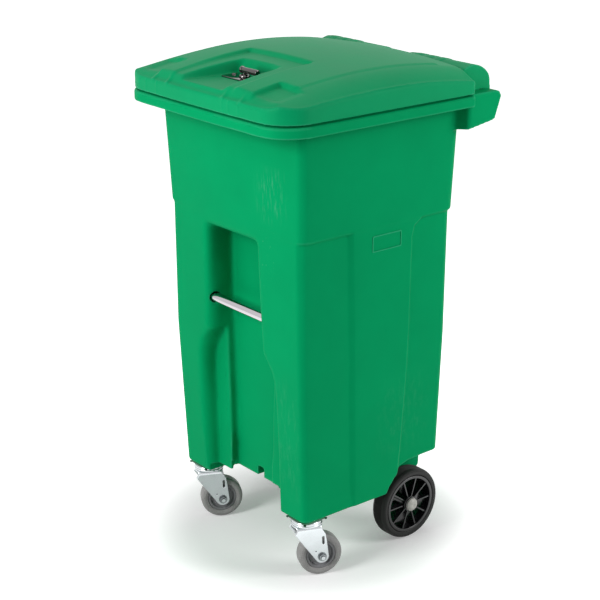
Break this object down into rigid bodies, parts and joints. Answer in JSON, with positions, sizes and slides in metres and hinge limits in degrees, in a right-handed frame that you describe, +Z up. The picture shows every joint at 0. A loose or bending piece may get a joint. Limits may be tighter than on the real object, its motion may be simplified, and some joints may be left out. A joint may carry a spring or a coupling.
{
  "type": "wheeled trash can",
  "caption": "Tall moulded refuse can with a hinged lid, a turn latch, a front lift bar, swivel casters in front and wheels on a rear axle.",
  "frame": {"origin": "on the floor, under the middle of the can's overall box", "axes": "+Z up, the lift bar and casters face -Y, the handle and hinge are at +Y, +X is the can's right-hand side seen from the rear handle"},
  "size_m": [0.5016, 0.5518, 1.0166],
  "materials": {
    "tub_green": "mid green moulded polyethylene with a soft sheen and fine grain",
    "lid_green": "mid green moulded polyethylene, a little smoother than the tub",
    "zinc_steel": "bright zinc-plated pressed steel",
    "chrome": "polished chrome",
    "bar_steel": "drawn zinc-plated steel bar",
    "axle_steel": "plain zinc-plated steel rod",
    "tyre_black": "ribbed black rubber",
    "hub_black": "glossy black plastic",
    "cap_grey": "pale grey plastic",
    "caster_grey": "mid grey plastic wheel centre",
    "tread_grey": "smooth grey non-marking tread"
  },
  "bodies": {
    "tub": {"tub": "tub_green", "latch_keeper": "zinc_steel", "keeper_screw_right": "zinc_steel", "keeper_screw_left": "zinc_steel", "rear_axle": "axle_steel", "axle_cap_right": "cap_grey", "axle_cap_left": "cap_grey", "axle_washer_right": "zinc_steel", "axle_washer_left": "zinc_steel", "axle_spacer_right": "hub_black", "axle_spacer_left": "hub_black", "caster_plate_right": "zinc_steel", "caster_plate_left": "zinc_steel", "caster_kingpin_right": "zinc_steel", "caster_kingpin_left": "zinc_steel", "plate_bolt_right_1": "zinc_steel", "plate_bolt_right_2": "zinc_steel", "plate_bolt_right_3": "zinc_steel", "plate_bolt_right_4": "zinc_steel", "plate_bolt_left_1": "zinc_steel", "plate_bolt_left_2": "zinc_steel", "plate_bolt_left_3": "zinc_steel", "plate_bolt_left_4": "zinc_steel"},
    "lid": {"lid": "lid_green", "latch_plate": "zinc_steel", "latch_screw_right": "zinc_steel", "latch_screw_left": "zinc_steel", "latch_collar": "chrome", "latch_sleeve": "zinc_steel"},
    "latch": {"latch_lever": "chrome", "latch_spindle": "zinc_steel", "latch_cam": "zinc_steel", "latch_nut": "zinc_steel"},
    "lift_bar": {"lift_bar": "bar_steel", "lift_bar_cap_right": "hub_black", "lift_bar_cap_left": "hub_black"},
    "rear_wheel_right": {"rear_hub_right": "hub_black", "rear_tyre_right": "tyre_black"},
    "caster_right": {"caster_fork_right": "zinc_steel", "caster_raceway_right": "zinc_steel", "caster_bush_right": "zinc_steel", "caster_axle_bolt_right": "zinc_steel", "caster_nut_right": "zinc_steel"},
    "caster_roller_right": {"caster_wheel_right": "caster_grey", "caster_tread_right": "tread_grey"},
    "rear_wheel_left": {"rear_hub_left": "hub_black", "rear_tyre_left": "tyre_black"},
    "caster_left": {"caster_fork_left": "zinc_steel", "caster_raceway_left": "zinc_steel", "caster_bush_left": "zinc_steel", "caster_axle_bolt_left": "zinc_steel", "caster_nut_left": "zinc_steel"},
    "caster_roller_left": {"caster_wheel_left": "caster_grey", "caster_tread_left": "tread_grey"}
  },
  "joints": [
    {"name": "lid_hinge", "type": "hinge", "parent": "tub", "child": "lid", "pos_m": [0, 0.247, 0.921], "axis": [-1, 0, 0], "range_deg": [0, 220]},
    {"name": "latch_turn", "type": "hinge", "parent": "lid", "child": "latch", "pos_m": [0, -0.162, 0.98], "axis": [0, 0, -1], "range_deg": [0, 90]},
    {"name": "lift_bar_spin", "type": "hinge", "parent": "tub", "child": "lift_bar", "pos_m": [0, -0.18, 0.5285], "axis": [1, 0, 0], "continuous": true},
    {"name": "rear_wheel_right_spin", "type": "hinge", "parent": "tub", "child": "rear_wheel_right", "pos_m": [0.1644, 0.1194, 0.0762], "axis": [1, 0, 0], "continuous": true},
    {"name": "caster_right_swivel", "type": "hinge", "parent": "tub", "child": "caster_right", "pos_m": [0.1637, -0.146, 0.11], "axis": [0, 0, 1], "continuous": true},
    {"name": "caster_right_roll", "type": "hinge", "parent": "caster_right", "child": "caster_roller_right", "pos_m": [0.17344, -0.12189, 0.04445], "axis": [0.9272, -0.3746, 0], "continuous": true},
    {"name": "rear_wheel_left_spin", "type": "hinge", "parent": "tub", "child": "rear_wheel_left", "pos_m": [-0.1644, 0.1194, 0.0762], "axis": [1, 0, 0], "continuous": true},
    {"name": "caster_left_swivel", "type": "hinge", "parent": "tub", "child": "caster_left", "pos_m": [-0.1637, -0.146, 0.11], "axis": [0, 0, 1], "continuous": true},
    {"name": "caster_left_roll", "type": "hinge", "parent": "caster_left", "child": "caster_roller_left", "pos_m": [-0.1519, -0.12283, 0.04445], "axis": [0.891, -0.454, 0], "continuous": true}
  ]
}
